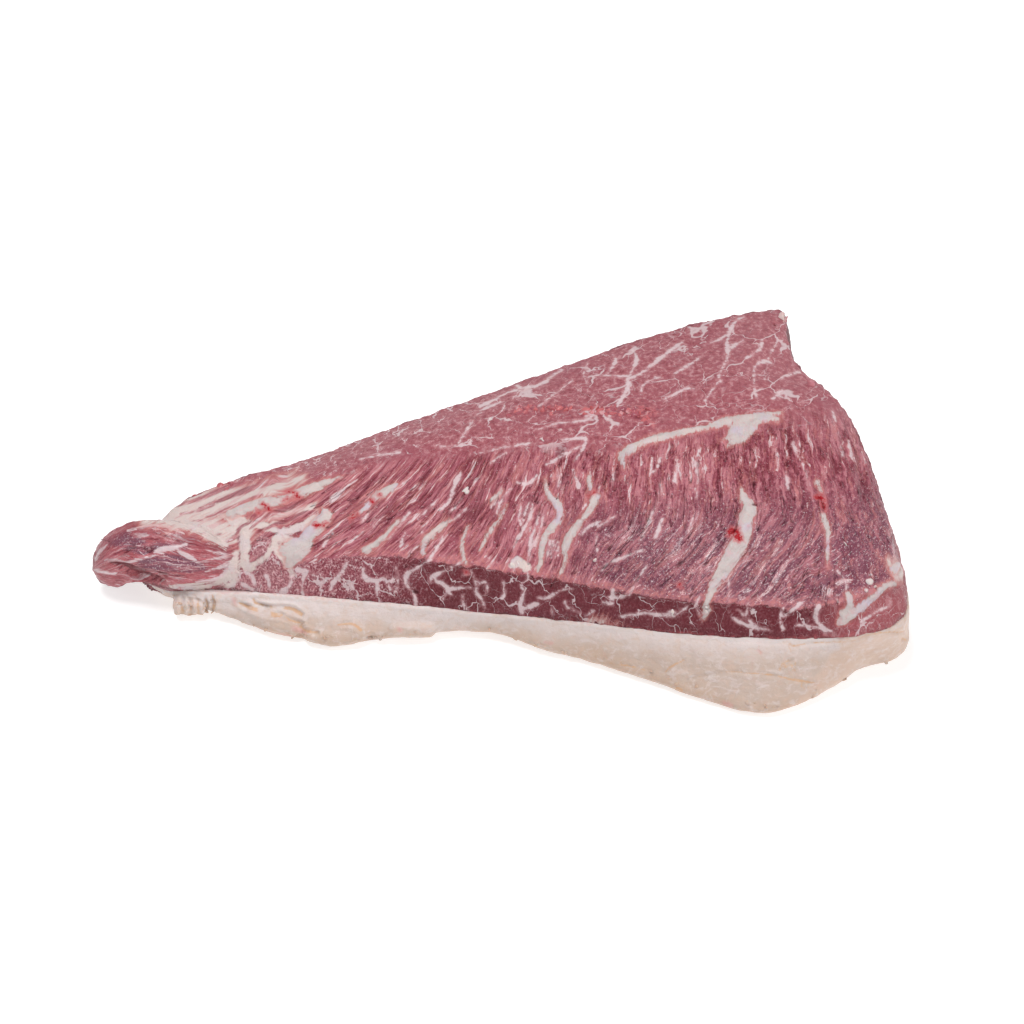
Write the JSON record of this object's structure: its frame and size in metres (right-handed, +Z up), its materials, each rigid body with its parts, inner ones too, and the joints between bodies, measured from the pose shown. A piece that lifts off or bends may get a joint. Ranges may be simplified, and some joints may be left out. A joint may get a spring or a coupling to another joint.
{
  "type": "picanha",
  "caption": "Raw beef rump cap: a domed wedge of meat with a rolled lobe at its tip, lying on its thick fat cap. Food prop for a kitchen, butcher's counter or grill.",
  "frame": {"origin": "On the surface that the cut rests on, under the middle of its length and width.", "axes": "+X points from the narrow tip to the wide end, +Y from the long cut side to the far corner, +Z up, from the fat to the meat side."},
  "size_m": [0.2996, 0.2016, 0.06],
  "materials": {
    "meat": "moist raw beef, fibrous, with thin pale marbling; half gloss",
    "fat": "firm cream-coloured beef fat, waxy satin"
  },
  "bodies": {
    "root": {"meat": "meat", "fat_cap": "fat"}
  },
  "joints": []
}
